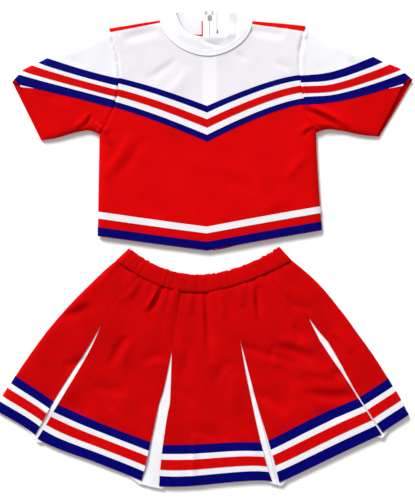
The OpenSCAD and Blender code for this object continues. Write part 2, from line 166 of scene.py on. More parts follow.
# Creases of the front layers: where each starts and ends, its bow, width, and height, below 0 for a hollow
TOP_CREASES = [
    (-130, 204, -182, 128, 5, 12, 1.9), (-110, 196, -160, 128, 5, 10, -0.9),
    (-144, 372, -80, 388, 0, 12, -1.9), (80, 390, 146, 378, 0, 12, -1.7), (-50, 339, -103, 303, 3, 8, -1),
    (-235, 212, -206, 241, -4, 5, 2.4), (-226, 212, -200, 236, -3, 4, -1.8),
    (-195, 222, -170, 182, 6, 5, 2.6), (-188, 222, -169, 192, 6, 3.5, -2.2),
    (-186, 205, -166, 208, 3, 4, 1.4), (174, 256, 262, 213, 5, 6, 3), (178, 246, 258, 203, 5, 4.5, -2.2),
    (179, 197, 200, 209, 4, 3.5, -2.4), (176, 203, 196, 217, 4, 4, 2), (197, 222, 243, 205, 3, 5, 1.2),
    (186, 268, 222, 262, -3, 6, 1), (40, 120, 95, 96, 4, 16, -0.9), (-120, 80, -60, 60, -5, 18, -0.9),
    (150, 120, 188, 164, 4, 10, 1.4), (177, 376, 168, 346, 2, 5, -1.2), (128, 330, 152, 316, 2, 7, -0.9),
    (-250, 345, -228, 318, 3, 8, -1), (262, 338, 280, 322, -3, 8, -1.1), (58, 346, 74, 332, 2, 5, -0.9),
    (-30, 322, -74, 268, 5, 12, 0.8), (-285, 268, -244, 256, 4, 10, -0.9), (100, 60, 160, 84, 5, 14, 0.8),
    (-40, 160, 20, 142, -4, 16, 0.7),
]
SKIRT_CREASES = [
    (-80, -64, -108, -114, 2, 6, 1.6), (-73, -64, -100, -118, 2, 6, -1.6), (-3, -82, 5, -160, -3, 7, 1.2),
    (4, -80, 10, -205, -3, 7, -1.5), (86, -68, 92, -128, -2, 6, 1.2), (94, -68, 99, -122, -2, 6, -1.4),
    (120, -178, 199, -204, 3, 10, -1.5), (134, -166, 200, -186, 3, 12, 0.8),
    (66, -176, 126, -196, -3, 11, -1.5), (112, -196, 168, -214, 5, 14, -1.5),
    (128, -212, 158, -256, 4, 12, -1.2), (165, -222, 236, -232, 4, 14, 1),
    (178, -262, 276, -268, -5, 11, -1.5), (190, -246, 262, -250, -5, 13, 0.9),
    (86, -262, 150, -300, 5, 15, -1.2), (-200, -103, -262, -124, 3, 11, -1.4),
    (-214, -92, -262, -108, 3, 11, 0.8), (-138, -160, -168, -214, -4, 11, -1.4),
    (-126, -164, -150, -214, -4, 11, 0.9), (-112, -210, -64, -196, 5, 12, -1.1),
    (-19, -335, -22, -428, 0, 6, 0.9), (-230, -240, -290, -300, 6, 16, 1.1), (28, -84, 34, -128, 2, 6, 1),
    (-24, -84, -28, -124, -2, 6, 1), (60, -78, 66, -108, 2, 6, 0.9), (-115, -55, -146, -96, 2, 6, 1.2),
    (128, -52, 152, -90, -2, 6, 1.2), (-30, -160, -42, -240, 4, 14, -1), (52, -230, 60, -300, -4, 14, 0.9),
    (160, -140, 170, -176, 3, 9, -1), (228, -150, 262, -190, 5, 11, 1),
    (-212, -196, -254, -214, 4, 12, -1.2), (-170, -290, -120, -330, -5, 14, 0.9),
    (70, -330, 92, -380, 3, 9, 0.7), (-60, -250, -20, -285, 4, 12, -0.8), (226, -226, 256, -238, 3, 9, -1.2),
    (-196, -246, -140, -262, -4, 13, -1.1), (-30, -330, 40, -350, 5, 14, -0.9),
    (-64, -120, -52, -180, 4, 13, -0.8), (20, -250, 48, -204, 4, 13, -0.9),
    (200, -300, 250, -312, 4, 12, -0.9), (-260, -270, -210, -300, -4, 13, -0.8),
    (150, -104, 196, -118, 4, 11, -0.9),
]
COLLAR_CREASES = [
    (-9, 374, 31, 360, -3, 3.5, -1.6), (57, 411, 55, 371, 2, 3, -1.5), (2, 374, 34, 372, 3, 5, 1.3),
    (-56, 412, -40, 378, 2, 4, 1.1), (44, 398, 40, 374, 2, 5, 1.4), (-70, 398, -50, 372, 2, 4, -0.7),
]


# ---------- curves and distances ----------

def mix(a, b, t):
    return a + (b - a) * t


def smooth(t):
    t = np.clip(t, 0, 1)
    return t * t * (3 - 2 * t)


def bumps(x, y, z):
    """Smooth noise, from about -1 to 1."""
    return noise.noise(Vector((x, y, z)))


def round_edge(t):
    """A quarter circle that rises from 0 at a fold to 1."""
    return np.sqrt(1 - (1 - np.clip(t, 0, 1)) ** 2)


def norm(v):
    return np.linalg.norm(v, axis=-1)


def unit(v):
    return v / np.maximum(norm(v), 1e-9)[..., None]


def to_left(v):
    """Unit vectors to the left of plane ones."""
    return unit(np.stack([-v[..., 1], v[..., 0]], -1))


def arc(a, b, bow, n=12):
    """Points from a to b along a shallow bow to the left of the way there."""
    a, b = np.asarray(a, float), np.asarray(b, float)
    t = np.linspace(0, 1, n + 1)[:, None]
    return a + (b - a) * t + to_left(b - a) * bow * 4 * t * (1 - t)


def spline(points, n=8):
    """A smooth curve through a few points."""
    p = np.asarray(points, float)
    p = np.vstack([2 * p[0] - p[1], p, 2 * p[-1] - p[-2]])
    t = np.linspace(0, 1, n, endpoint=False)[:, None]
    out = [
        0.5 * (2 * b + (c - a) * t + (2 * a - 5 * b + 4 * c - d) * t ** 2 + (3 * b - a - 3 * c + d) * t ** 3)
        for a, b, c, d in zip(p, p[1:], p[2:], p[3:])
    ]
    return np.vstack([*out, p[-2:-1]])


def resample(line, step, closed=False):
    """The same line with a point at least every step, its own points kept."""
    line = np.asarray(line, float)
    ends = np.roll(line, -1, 0) if closed else line[1:]
    out = []
    for a, b in zip(line, ends):
        n = max(1, math.ceil(norm(b - a) / step - 1e-6))
        out.extend(a + (b - a) * i / n for i in range(n))
    if not closed:
        out.append(line[-1])
    return np.array(out)


def travelled(line):
    """How far along a line each of its points is."""
    return np.concatenate([[0], np.cumsum(norm(np.diff(line, axis=0)))])


def read_at(distances, line, values):
    """Values given at a line's points, read at these distances along it."""
    return np.column_stack([np.interp(distances, travelled(line), column) for column in np.transpose(values)])


def along(line, distances):
    """Points at these distances along a line."""
    return read_at(distances, line, line)


def line_length(line):
    return float(norm(np.diff(line, axis=0)).sum())


def nearest(p, line):
    """Each point's distance from a line, the share of the line's length there, and 1 if it is on the left."""
    line = np.asarray(line, float)
    a, ab = line[:-1], np.diff(line, axis=0)
    t = np.clip(((p[:, None] - a) * ab).sum(-1) / (ab ** 2).sum(-1), 0, 1)
    d = norm(p[:, None] - a - t[..., None] * ab)
    k, rows = d.argmin(1), np.arange(len(p))
    lengths = norm(ab)
    share = (np.cumsum(lengths)[k] - lengths[k] + t[rows, k] * lengths[k]) / lengths.sum()
    off = p - a[k]
    return d[rows, k], share, ab[k, 0] * off[:, 1] - ab[k, 1] * off[:, 0] > 0


def inside(p, outline):
    """Which points lie inside a closed outline."""
    result = np.zeros(len(p), bool)
    for a, b in zip(outline, np.roll(outline, -1, 0)):
        crosses = (a[1] > p[:, 1]) != (b[1] > p[:, 1])
        if crosses.any():
            x = a[0] + (b[0] - a[0]) * (p[:, 1] - a[1]) / (b[1] - a[1] if b[1] != a[1] else 1)
            result ^= crosses & (p[:, 0] < x)
    return result


def area_of(outline):
    """An outline's area, below 0 if it runs clockwise."""
    x, y = np.asarray(outline).T
    return float(x @ np.roll(y, -1) - y @ np.roll(x, -1)) / 2


def split_at(line, height):
    """A line cut in two where it meets the curve y = height(x)."""
    line = resample(line, 1)
    above = line[:, 1] > height(line[:, 0])
    k = int(np.argmax(above != above[0]))
    return line[:k + 1], line[k:]


def on_top(points, side=1):
    """Points given from the top's centre line, placed on its right (1) or left (-1) half."""
    return np.asarray(points, float) * [side, 1] + [TOP_X, 0]


def both_halves(half):
    """A closed outline from its right half, which starts and ends on the centre line."""
    return np.vstack([on_top(half), on_top(half, -1)[-2:0:-1]])


def bent_plate(r):
    """How a thin plate bends at a distance from a load."""
    return np.where(r > 0, r * r * np.log(np.maximum(r, 1e-9)), 0)


class Drift:
    """A smooth drift of the lay through a few given ones, as a thin plate bends through its supports."""

    def __init__(self, table):
        table = np.array(table, float)
        self.at, moved = table[:, :2] / 100, table[:, 2:]
        n = len(table)
        stiff = bent_plate(norm(self.at[:, None] - self.at)) + 0.01 * np.eye(n)
        plane = np.column_stack([np.ones(n), self.at])
        system = np.block([[stiff, plane], [plane.T, np.zeros((3, 3))]])
        self.weights = np.linalg.solve(system, np.vstack([moved, np.zeros((3, 2))]))

    def __call__(self, p):
        p = p / 100
        near = bent_plate(norm(p[:, None] - self.at))
        return np.column_stack([near, np.ones(len(p)), p]) @ self.weights


# ---------- a garment's two layers ----------

# Half width of the strip that the zip keeps straight, and how far from an open edge the front droops
ZIP_STIFF = 16
HEM_DROOP = 30
# Distances from a fold at which the mesh has rows of points
FOLD_ROWS = (1, 2.6, 5.2, 8.5)


def waves(xy, seed):
    """The cloth's soft unevenness, in three sizes."""
    return np.array([
        bumps(x / 95, y / 120, seed) + 0.4 * bumps(x / 31, y / 40, seed + 5)
        + 0.14 * bumps(x / 12, y / 13, seed + 9) for x, y in xy
    ])


@dataclass
class Garment:
    """Where a garment's flat points lie: on two layers that meet at its folds.

    front and back are the layers' heights, and within radius of a fold they curve to the height in middle.
    droop is how far the front sinks at an open edge, depth scales its creases, and ridges add to it.
    """

    folds: list
    open_edges: list
    drift: Drift
    creases: list
    depth: float
    front: float
    back: float
    middle: float
    radius: float
    droop: float
    ridges: list
    straight_x: float = None

    def laid(self, p, layer):
        """Flat points moved as this lay has drifted. The back stays straight beside the zip."""
        drift = self.drift(p)
        if layer == "back" and self.straight_x is not None:
            drift = drift * smooth((np.abs(p[:, 0] - self.straight_x) - ZIP_STIFF) / 50)[:, None]
        return p + drift

    def fold_distance(self, p):
        return np.min([nearest(p, f)[0] for f in self.folds], axis=0)

    def creased(self, xy):
        """Ridges and hollows along the creases, steeper on their right side and fading at both ends."""
        total = np.zeros(len(xy))
        for x0, y0, x1, y1, bow, width, height in self.creases:
            d, share, left = nearest(xy, arc((x0, y0), (x1, y1), bow, 8))
            fade = np.clip(4 * share * (1 - share), 0, 1) ** 0.6
            total += self.depth * height * np.exp(-(d / np.where(left, width, width * 0.55)) ** 2) * fade
        return total

    def surface(self, p, layer):
        """The place in space of flat points on the front or the back layer."""
        p = np.asarray(p, float)
        xy = self.laid(p, layer)
        swell = round_edge(self.fold_distance(p) / self.radius)
        if layer == "front":
            hem = np.min([nearest(p, e)[0] for e in self.open_edges], axis=0)
            level = self.front - self.droop * np.exp(-hem / HEM_DROOP) + waves(xy, 3) + self.creased(xy)
            for ridge in self.ridges:
                level = level + ridge(p)
        else:
            level = self.back + 0.25 * waves(xy, 8)
        return np.column_stack([xy, self.middle + (level - self.middle) * swell])


# ---------- the cut of the top, as right halves ----------

def half_hem(offset=0):
    """Height of the line at that distance above the top's hem, which dips to a point in the middle."""
    return lambda x: HEM_POINT + offset + HEM_RISE * np.abs(x) / CHEST


def chest_line(share):
    """Height of the chest braid's line at that share of its width."""
    def height(x):
        x = np.abs(x)
        return mix(189 + 0.45 * x - 0.0005 * x ** 2, 253 + 0.40 * x - 0.0005 * x ** 2, share)
    return height


def sleeve_line(share):
    """Height of the sleeve braid's line at that share of its width."""
    def height(x):
        x = np.abs(x)
        return mix(247.5 + 0.265 * (x - 165), 305 + 0.23 * (x - 170) + 0.0006 * (x - 170) ** 2, share)
    return height


ARMHOLE = arc(UNDERARM, SHOULDER, 25, 16)
CHORD = np.array([UNDERARM, SHOULDER])
OUTWARD = to_left(CHORD[0] - CHORD[1])
# How wide the band is in which a folded sleeve bends, how high up it bends, and the mesh's step there
BEND = 26
BEND_Z = 10.5
BEND_STEP = 1.5
SLEEVE_TOP = np.vstack([arc(SHOULDER, (280, 347), -1, 4)[:-1], (280, 347), (335, 320), SLEEVE_TIP])
SLEEVE_UNDER = spline([CUFF, (270, 199), (238, 207), (218, 210), UNDERARM], 4)
FRONT_TIP = SLEEVE_TIP + (-1.5, 1.2)
NECK_SEAM = np.array([
    (NECK_SIDE[0] * s, NECK_SIDE[1] - NECK_DROP * (1 - s ** NECK_FULLNESS) ** (1 / NECK_FULLNESS))
    for s in map(math.sin, np.linspace(math.pi / 2, 0, 17))
])
ROLL_IN = NECK_SIDE + (2, SHOULDER_ROLL - 1)
ROLL_OUT = SHOULDER + (1, SHOULDER_ROLL)
SEAM_IN = NECK_SIDE - (0, 1)
SEAM_OUT = SHOULDER - (1, 3)

ARM_LOW, ARM_HIGH = split_at(ARMHOLE, chest_line(0.5))
CHEST_MID = np.array([(x, chest_line(0.5)(x)) for x in np.linspace(0, ARM_LOW[-1][0], 30)])
SLEEVE_ARM_LOW, SLEEVE_ARM_HIGH = split_at(ARMHOLE, sleeve_line(0.5))
TOP_FOLD_IN, TOP_FOLD_OUT = split_at(SLEEVE_TOP, sleeve_line(0.5))
SLEEVE_MID = np.array([
    (x, sleeve_line(0.5)(x)) for x in np.linspace(SLEEVE_ARM_LOW[-1][0], TOP_FOLD_IN[-1][0], 24)
])

YOKE_HALF = np.vstack([CHEST_MID, ARM_HIGH[1:-3:4], [SEAM_OUT], [SEAM_IN], NECK_SEAM[1:]])
FRONT_HALF = np.vstack([[(0, HEM_POINT)], [HEM_SIDE], ARM_LOW[::4], CHEST_MID[::-1]])
BACK_HALF = np.vstack([
    [(PLACKET_HALF, HEM_POINT + 1)], [HEM_SIDE], ARMHOLE, [ROLL_OUT], [ROLL_IN], [(68, COLLAR_SEAM)],
])
CUFF_BACK = CUFF + (5, -1)
FRONT_CUFF = [FRONT_TIP, CUFF_TOP, (CUFF[0] + 1, CUFF[1] + 2)]
FOLD_TO_CUFF = TOP_FOLD_OUT[1::3][TOP_FOLD_OUT[1::3][:, 0] < FRONT_TIP[0] - 2]
CAP_FRONT = np.vstack([SLEEVE_MID[::-1], SLEEVE_ARM_HIGH[1:-1:4], TOP_FOLD_IN[:-1:6]])
LOWER_SLEEVE = {
    "front": np.vstack([SLEEVE_ARM_LOW[:-1:4], SLEEVE_MID, FOLD_TO_CUFF, FRONT_CUFF, SLEEVE_UNDER[:-1]]),
    "back": np.vstack([
        SLEEVE_ARM_LOW[:-1:4], SLEEVE_MID, TOP_FOLD_OUT[1::3], [SLEEVE_TIP], [CUFF_BACK], SLEEVE_UNDER[:-1]]),
}
WHOLE_SLEEVE = {
    "front": np.vstack([ARMHOLE[:-1], SLEEVE_TOP[:-1], FRONT_CUFF, SLEEVE_UNDER[:-1]]),
    "back": np.vstack([ARMHOLE[:-1], SLEEVE_TOP, [CUFF_BACK], SLEEVE_UNDER[:-1]]),
}


def in_bend(p):
    """Which flat points lie where a sleeve bends when it is folded over."""
    beyond = (np.abs(p - [TOP_X, 0]) - CHORD.mean(0)) @ OUTWARD
    return (beyond > -2 * BEND_STEP) & (beyond < BEND + 2 * BEND_STEP)


def armhole_ridge(p):
    """The seam allowance makes the sleeve stand up beside the armhole seam, and the seam itself sinks."""
    total = np.zeros(len(p))
    for side in (-1, 1):
        d, _, left = nearest(p, on_top(ARMHOLE, side))
        outer = left != (side > 0)
        total += np.where(outer, 1.7 * np.exp(-((d - 4) / 3) ** 2), 0.6 * np.exp(-((d - 5) / 3) ** 2))
        total -= 1.0 * np.exp(-(d / 2) ** 2)
    return total


def neck_ease(p):
    """The yoke rises a little towards the neck seam."""
    return 0.8 * np.exp(-nearest(p, both_halves(NECK_SEAM[::-1]))[0] / 18)


top = Garment(
    folds=[on_top(line, side) for side in (-1, 1) for line in
           (np.array([HEM_SIDE, UNDERARM]), SLEEVE_UNDER, SLEEVE_TOP, np.array([ROLL_OUT, ROLL_IN]))],
    open_edges=[on_top([HEM_SIDE * (-1, 1), (0, HEM_POINT), HEM_SIDE]),
                *[on_top([FRONT_TIP - (8, 6), CUFF], side) for side in (-1, 1)]],
    drift=Drift(TOP_LAY), creases=TOP_CREASES, depth=1.5, ridges=[armhole_ridge, neck_ease],
    front=10.6, back=2.5, middle=5.2, radius=12, droop=3.2, straight_x=TOP_X,
)


# ---------- the cut of the skirt ----------

def ring(r, a):
    """Points at a distance from the waistband ring's centre, at angles from straight down."""
    a = np.asarray(a, float)
    return np.column_stack([r * np.sin(a), WAIST_Y - r * np.cos(a)])


def on_skirt(points, side=1):
    return np.asarray(points, float) * [side, 1]


INNER_ANGLE = math.atan(INNER_SLIT[0] / (WAIST_Y - INNER_SLIT[1]))
OUTER_ANGLE = math.atan(OUTER_SLIT[0] / (WAIST_Y - OUTER_SLIT[1]))
SIDE_LINE = arc(SKIRT_CORNER, ring(BAND_R, [WAIST_ANGLE])[0], -17, 14)
PANEL_TOP = BAND_R - 3


def slit_edge(top, hem, slit, side, way):
    """A panel's edge along a slit of that side, from the slit's top to the hem. Drawn on the right half."""
    swell = np.array(SLIT_SWELL[slit, side])[:, None]
    straight = top + (hem - top) * np.linspace(0, 1, len(swell))[:, None]
    return spline(straight + to_left(hem - top) * way * swell, 3)


def panel_outline(which, side):
    """A panel's flat outline, drawn on the right half, as it is on that side."""
    if which == "center":
        right, left = (np.vstack([
            [(0, CENTRE_HEM[1])], slit_edge(INNER_SLIT, CENTRE_HEM, "inner", half, -1)[::-1],
            ring(PANEL_TOP, np.linspace(INNER_ANGLE, 0, 6))]) for half in (1, -1))
        return np.vstack([right, on_skirt(left, -1)[-2:0:-1]])
    if which == "front":
        return np.vstack([
            slit_edge(OUTER_SLIT, FRONT_HEM_OUT, "outer", side, -1)[::-1],
            ring(PANEL_TOP, np.linspace(OUTER_ANGLE, INNER_ANGLE, 8)),
            slit_edge(INNER_SLIT, FRONT_HEM_IN, "inner", side, 1)])
    return np.vstack([
        SIDE_LINE, ring(PANEL_TOP, np.linspace(WAIST_ANGLE, OUTER_ANGLE, 4)),
        slit_edge(OUTER_SLIT, SIDE_HEM_IN, "outer", side, 1)])


HEMS = {
    "center": (CENTRE_HEM * (-1, 1), CENTRE_HEM),
    "front": (FRONT_HEM_IN, FRONT_HEM_OUT),
    "side": (SIDE_HEM_IN, SKIRT_CORNER),
}
# Each inset is a fold of two leaves, the outer one lower
INNER_INSET = (
    np.array([(57, -150), (70, -412), (97, -430), (116, -428.5), (63, -150)], float),
    np.array([(60, -150), (104, -429), (127, -427), (156, -402), (67, -150)], float),
)
OUTER_INSET = (
    np.array([(176, -112), (282, -344), (309, -347), (315, -342), (184, -112)], float),
    np.array([(181, -112), (309, -345.5), (317, -340), (336, -318), (188, -112)], float),
)
# Above each slit its two panels are sewn together
SEAMS = [
    on_skirt([ring(PANEL_TOP, [angle])[0], slit], side)
    for side in (-1, 1) for angle, slit in ((INNER_ANGLE, INNER_SLIT), (OUTER_ANGLE, OUTER_SLIT))
]


def gathers(p):
    """Small radial folds below the elastic waistband, fading towards the hips."""
    angle = np.arctan2(p[:, 0], WAIST_Y - p[:, 1])
    below = np.maximum(norm(p - [0, WAIST_Y]) - BAND_R, 0)
    ripple = np.array([bumps(a * 21, 0.4, 2) + 0.7 * bumps(a * 47, 1.7, 4) for a in angle])
    return 3.6 * ripple * np.exp(-below / 32) - 2.2 * np.exp(-below / 4)


def panel_seams(p):
    """The seams above the slits sink a little."""
    return -0.35 * np.exp(-(np.min([nearest(p, s)[0] for s in SEAMS], axis=0) / 2) ** 2)


skirt = Garment(
    folds=[on_skirt(SIDE_LINE, side) for side in (-1, 1)],
    open_edges=[on_skirt(HEMS[which], side) for which in HEMS for side in (-1, 1)],
    drift=Drift(SKIRT_LAY), creases=SKIRT_CREASES, depth=2.7, ridges=[gathers, panel_seams],
    front=10.2, back=3.2, middle=5.6, radius=12, droop=3,
)


# ---------- meshes: a part is points, faces and a flat (u, v) for each point ----------

def hexagons(outline, spacing):
    """An even grid of points inside an outline."""
    low, high = outline.min(0), outline.max(0)
    rows = np.arange(low[1], high[1], spacing * 0.87)
    grid = np.array([
        (x + (spacing / 2 if i % 2 else 0), y)
        for i, y in enumerate(rows) for x in np.arange(low[0], high[0], spacing)
    ])
    return grid[inside(grid, outline)]


def far_from(p, others):
    """Each point's distance from the nearest of some others."""
    tree = kdtree.KDTree(len(others))
    for i, (x, y) in enumerate(others):
        tree.insert((x, y, 0), i)
    tree.balance()
    return np.array([tree.find((x, y, 0))[2] for x, y in p], float)


def cut(garment, outline, spacing, bends):
    """Flat points and triangles that fill an outline, closer beside the folds and where it bends."""
    if area_of(outline) < 0:
        outline = outline[::-1]
    loop = resample(outline, BEND_STEP if bends else spacing, closed=True)
    keep = [loop]
    if bends:
        close = hexagons(outline, BEND_STEP)
        close = close[in_bend(close)]
        keep.append(close[far_from(close, loop) > BEND_STEP * 0.6])
    for fold in garment.folds:
        line = resample(fold, spacing)
        off = to_left(np.gradient(line, axis=0))
        for distance in FOLD_ROWS:
            for way in (-1, 1):
                row = line + off * distance * way
                row = row[inside(row, outline)]
                if len(row):
                    row = row[garment.fold_distance(row) > distance * 0.9]
                    keep.append(row[far_from(row, loop) > distance * 0.6])
    grid = hexagons(outline, spacing)
    grid = grid[far_from(grid, np.vstack(keep)) > spacing * 0.6]
    points = np.vstack([*keep, grid])
    made = delaunay_2d_cdt([Vector(p) for p in points], [], [list(range(len(loop)))], 1, 1e-5)
    return np.array([tuple(v) for v in made[0]]), np.array(made[2])


def facing(flat, faces, layer):
    """Faces turned so that their outside is up on the front layer and down on the back."""
    a, b, c = (flat[faces[:, i]] for i in range(3))
    turn = (b - a)[:, 0] * (c - b)[:, 1] - (b - a)[:, 1] * (c - b)[:, 0]
    wrong = (turn > 0) != (layer == "front")
    faces = faces.copy()
    faces[wrong] = faces[wrong][:, ::-1]
    return faces


def point_normals(points, faces):
    """Each point's unit normal, from the faces round it."""
    a, b, c = (points[faces[:, i]] for i in (0, 1, -1))
    face_normal = np.cross(b - a, c - a)
    normals = np.zeros_like(points)
    for i in range(faces.shape[1]):
        np.add.at(normals, faces[:, i], face_normal)
    return unit(normals)


def shell(points, faces, low, high, uv=None):
    """A closed solid between two offsets of a surface along its normals."""
    n = len(points)
    normals = point_normals(points, faces)
    edges = np.vstack([faces[:, [i, (i + 1) % faces.shape[1]]] for i in range(faces.shape[1])])
    key = edges.min(1) * n + edges.max(1)
    _, index, count = np.unique(key, return_index=True, return_counts=True)
    rim = edges[index[count == 1]]
    walls = np.column_stack([rim[:, 1], rim[:, 0], rim[:, 0] + n, rim[:, 1] + n])
    verts = np.vstack([points + normals * high, points + normals * low])
    uv = np.zeros((n, 2)) if uv is None else uv
    return verts, [*faces.tolist(), *(faces[:, ::-1] + n).tolist(), *walls.tolist()], np.vstack([uv, uv])


def panel(garment, outline, layer, low=-CLOTH / 2, high=CLOTH / 2, spacing=4.5, bends=False):
    """A cut piece of cloth on a garment's layer."""
    flat, faces = cut(garment, outline, spacing, bends)
    return shell(garment.surface(flat, layer), facing(flat, faces, layer), low, high, flat)


def steps(length, spacing=4.0):
    """Distances along a strip, closer together near both ends, where it may go round a fold."""
    if length < 24:
        return np.linspace(0, length, 9)
    ends, last = np.array([0, *FOLD_ROWS[:-1]]), FOLD_ROWS[-1]
    middle = np.linspace(last, length - last, max(2, round((length - 2 * last) / spacing)))
    return np.concatenate([ends, middle, length - ends[::-1]])


def lattice_faces(rows, columns):
    """Four-sided faces between the points of a grid."""
    k = np.arange(rows * columns).reshape(rows, columns)
    return np.stack([k[:-1, :-1], k[:-1, 1:], k[1:, 1:], k[1:, :-1]], -1).reshape(-1, 4)


def strip(garment, lines, layer, lift, sewn=True, bends=False):
    """A ribbon from the first to the last of a few neighbouring lines, stitched along both edges."""
    first, last = lines[0], lines[-1]
    across = max(2, round(norm(first[0] - last[0]) / 3.5))
    length = (line_length(first) + line_length(last)) / 2
    places = steps(length)
    if bends:
        close = np.arange(0, length, BEND_STEP)
        places = np.union1d(places, close[in_bend(along(lines[len(lines) // 2], close))])
        places = places[np.append(True, np.diff(places) > 0.4)]
    shares = np.unique(np.concatenate([[0, 0.09], np.linspace(0.2, 0.8, across), [0.91, 1]]))
    even = [along(line, places / length * line_length(line)) for line in lines]
    flat = []
    for share in shares:
        where = share * (len(lines) - 1)
        k = min(int(where), len(lines) - 2)
        flat.append(mix(even[k], even[k + 1], where - k))
    flat = np.array(flat)
    rows, columns = flat.shape[:2]
    faces = facing(flat.reshape(-1, 2), lattice_faces(rows, columns), layer)
    points = garment.surface(flat.reshape(-1, 2), layer)
    width = norm(flat[-1, columns // 2] - flat[0, columns // 2])
    uv = np.stack(np.broadcast_arrays(travelled(flat[0])[None, :], shares[:, None] * width), -1)
    parts = [shell(points, faces, *lift, uv.reshape(-1, 2))]
    if sewn:
        normals = point_normals(points, faces).reshape(rows, columns, 3)
        grid = points.reshape(rows, columns, 3) + normals * lift[1]
        parts += [stitches(grid[row], normals[row]) for row in (1, -2)]
    return parts


def stitches(line, normals, pitch=3.4, length=2.4, width=0.55, height=0.28):
    """A row of sewing stitches, each a low ridge that dips into the cloth at its ends."""
    centres = np.arange(pitch, line_length(line) - pitch / 2, pitch)
    if not len(centres):
        return np.zeros((0, 3)), [], np.zeros((0, 2))
    up = read_at(centres, line, normals)
    sections = []
    for share, rise in ((-0.5, -0.08), (0, 1), (0.5, -0.08)):
        here = along(line, centres + share * length)
        ahead = along(line, centres + share * length + 0.4) - along(line, centres + share * length - 0.4)
        across = np.cross(up, unit(ahead)) * width / 2
        sections.append(np.stack([here + across, here + up * height * max(rise, 0.15), here - across], 1))
    verts = np.concatenate(sections, 1).reshape(-1, 3)
    quads = [(0, 1, 4, 3), (1, 2, 5, 4), (2, 0, 3, 5), (3, 4, 7, 6), (4, 5, 8, 7), (5, 3, 6, 8)]
    faces = []
    for k in range(len(centres)):
        faces += [tuple(9 * k + i for i in quad) for quad in quads]
        faces += [(9 * k, 9 * k + 2, 9 * k + 1), (9 * k + 6, 9 * k + 7, 9 * k + 8)]
    return verts, faces, np.zeros((len(verts), 2))


def rods(starts, ends, radius, sides=6):
    """Short round rods with closed ends, between pairs of points."""
    verts, faces = [], []
    for a, b in zip(np.asarray(starts, float), np.asarray(ends, float)):
        ahead = unit(b - a)
        across = unit(np.cross(ahead, (0, 0, 1)))
        up = np.cross(across, ahead)
        base = len(verts)
        for share, size in ((0, 0.55), (0.12, 1), (0.88, 1), (1, 0.55)):
            for t in 2 * math.pi * np.arange(sides) / sides:
                verts.append(mix(a, b, share) + (across * math.cos(t) + up * math.sin(t)) * radius * size)
        for i in range(base, base + 3 * sides, sides):
            for k in range(sides):
                j = (k + 1) % sides
                faces.append((i + k, i + k + sides, i + j + sides, i + j))
        faces.append(tuple(range(base, base + sides)))
        faces.append(tuple(reversed(range(base + 3 * sides, base + 4 * sides))))
    return np.array(verts), faces, np.zeros((len(verts), 2))


Finish = namedtuple("Finish", "material slot")


def build(name, parts, finish, node, body=None):
    """One object from its parts, with its finish, riding on a body and standing for its CAD node."""
    verts = np.vstack([v for v, f, t in parts])
    uv = np.vstack([t for v, f, t in parts])
    faces, base = [], 0
    for v, f, t in parts:
        faces += [tuple(i + base for i in face) for face in f]
        base += len(v)
    mesh = bpy.data.meshes.new(name)
    mesh.from_pydata((verts * MM).tolist(), [], faces)
    layer = mesh.uv_layers.new(name="flat")
    index = np.zeros(len(mesh.loops), np.int32)
    mesh.loops.foreach_get("vertex_index", index)
    layer.data.foreach_set("uv", (uv[index] * MM).ravel())
    mesh.polygons.foreach_set("use_smooth", np.ones(len(mesh.polygons), bool))
    mesh.set_sharp_from_angle(angle=math.radians(52))
    mesh.materials.append(finish.material)
    obj = bpy.data.objects.new(name, mesh)
    bpy.context.scene.collection.objects.link(obj)
    if body:
        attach(obj, body)
    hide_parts(node)
    return obj


def declare_cloth(outline, copies=1):
    """Works out the smallest rectangle round a piece's outline and the area of cloth cut, but keeps neither.
    """
    sizes = []
    for angle in np.radians(np.arange(0, 90, 3)):
        turned = outline @ np.array([[math.cos(angle), -math.sin(angle)], [math.sin(angle), math.cos(angle)]])
        sizes.append(np.ptp(turned, axis=0))
    width, length = sorted(min(sizes, key=np.prod))
    area = min(abs(area_of(outline)), width * length) * copies


# ---------- materials ----------

def node_material(name):
    """A new material, its node tree and its shader."""
    material = bpy.data.materials.new(name)
    material.use_nodes = True
    tree = material.node_tree
    return material, tree, tree.nodes["Principled BSDF"]


def fill(tree, node, inputs):
    """Sets or links a node's inputs."""
    for key, value in inputs.items():
        if isinstance(value, bpy.types.NodeSocket):
            tree.links.new(value, node.inputs[key])
        else:
            node.inputs[key].default_value = value


def add(tree, kind, inputs=None, output=0, **settings):
    """A new shader node with its settings and inputs, as the socket it gives out."""
    node = tree.nodes.new("ShaderNode" + kind)
    for key, value in settings.items():
        setattr(node, key, value)
    fill(tree, node, inputs or {})
    return node.outputs[output]


def work_out(tree, operation, *values):
    return add(tree, "Math", dict(enumerate(values)), operation=operation)


def wave(tree, value, pitch):
    """A sine of a length, once every pitch."""
    return work_out(tree, "SINE", work_out(tree, "MULTIPLY", value, 2 * math.pi / (pitch * MM)))


